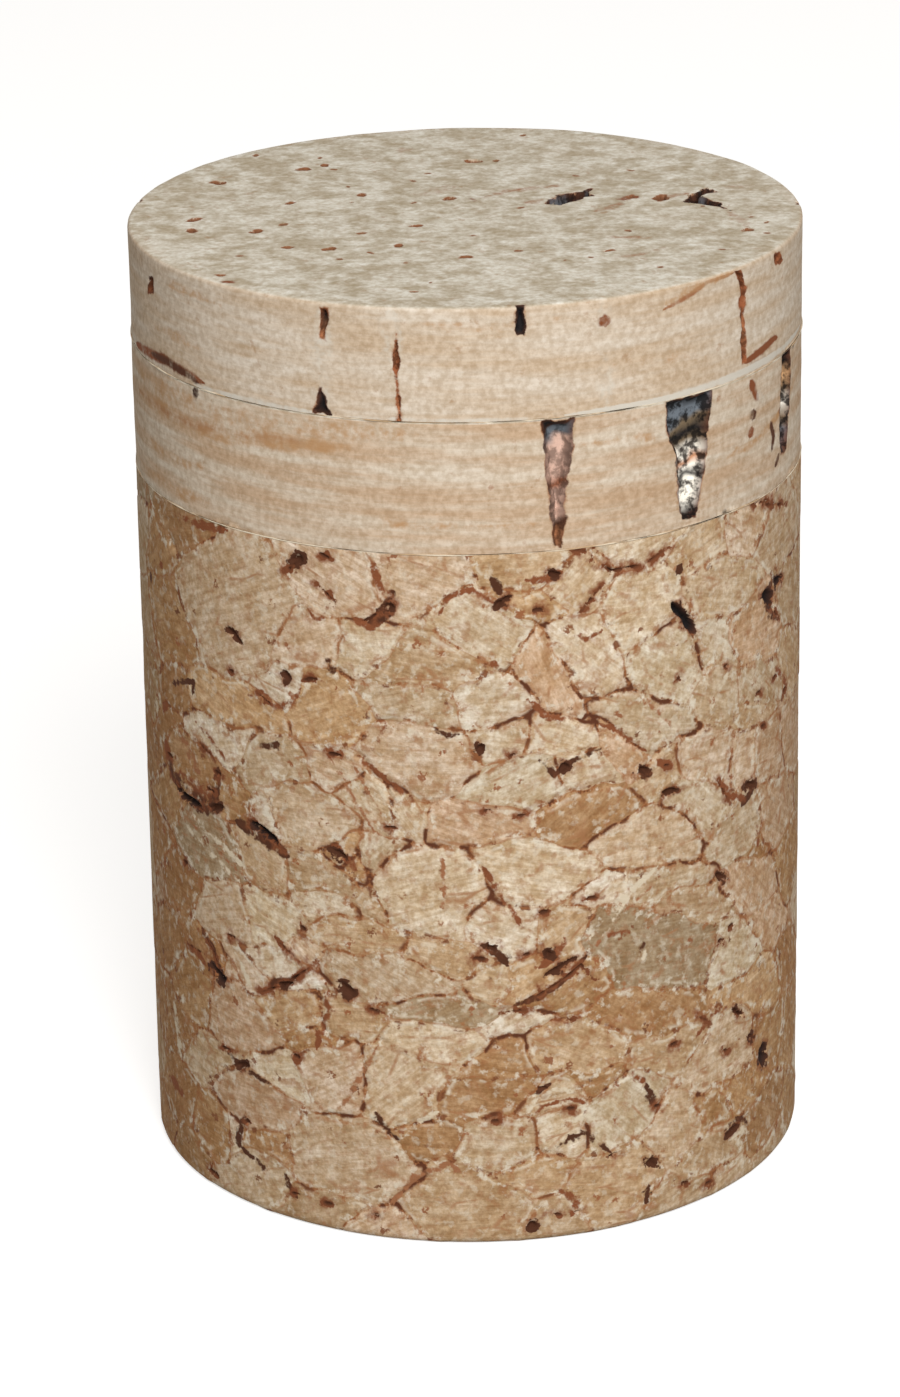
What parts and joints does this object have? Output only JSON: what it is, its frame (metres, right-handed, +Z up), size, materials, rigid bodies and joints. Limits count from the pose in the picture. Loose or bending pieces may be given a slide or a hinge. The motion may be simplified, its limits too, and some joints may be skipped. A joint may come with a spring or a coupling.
{
  "type": "cork stopper",
  "caption": "Straight cylindrical bottle stopper of bonded cork granules, with natural cork discs glued on the end that meets the wine.",
  "frame": {"origin": "centre of the agglomerated foot, on the surface that the stopper stands on", "axes": "+Z up along the stopper's axis to the wine end, -Y the front, +X to its right"},
  "size_m": [0.031, 0.031, 0.045],
  "materials": {
    "agglomerated_cork": "matte ground cork granules in a binder",
    "natural_cork": "matte ground natural cork"
  },
  "bodies": {
    "root": {"agglomerate_body": "agglomerated_cork", "inner_disc": "natural_cork", "outer_disc": "natural_cork"}
  },
  "joints": []
}
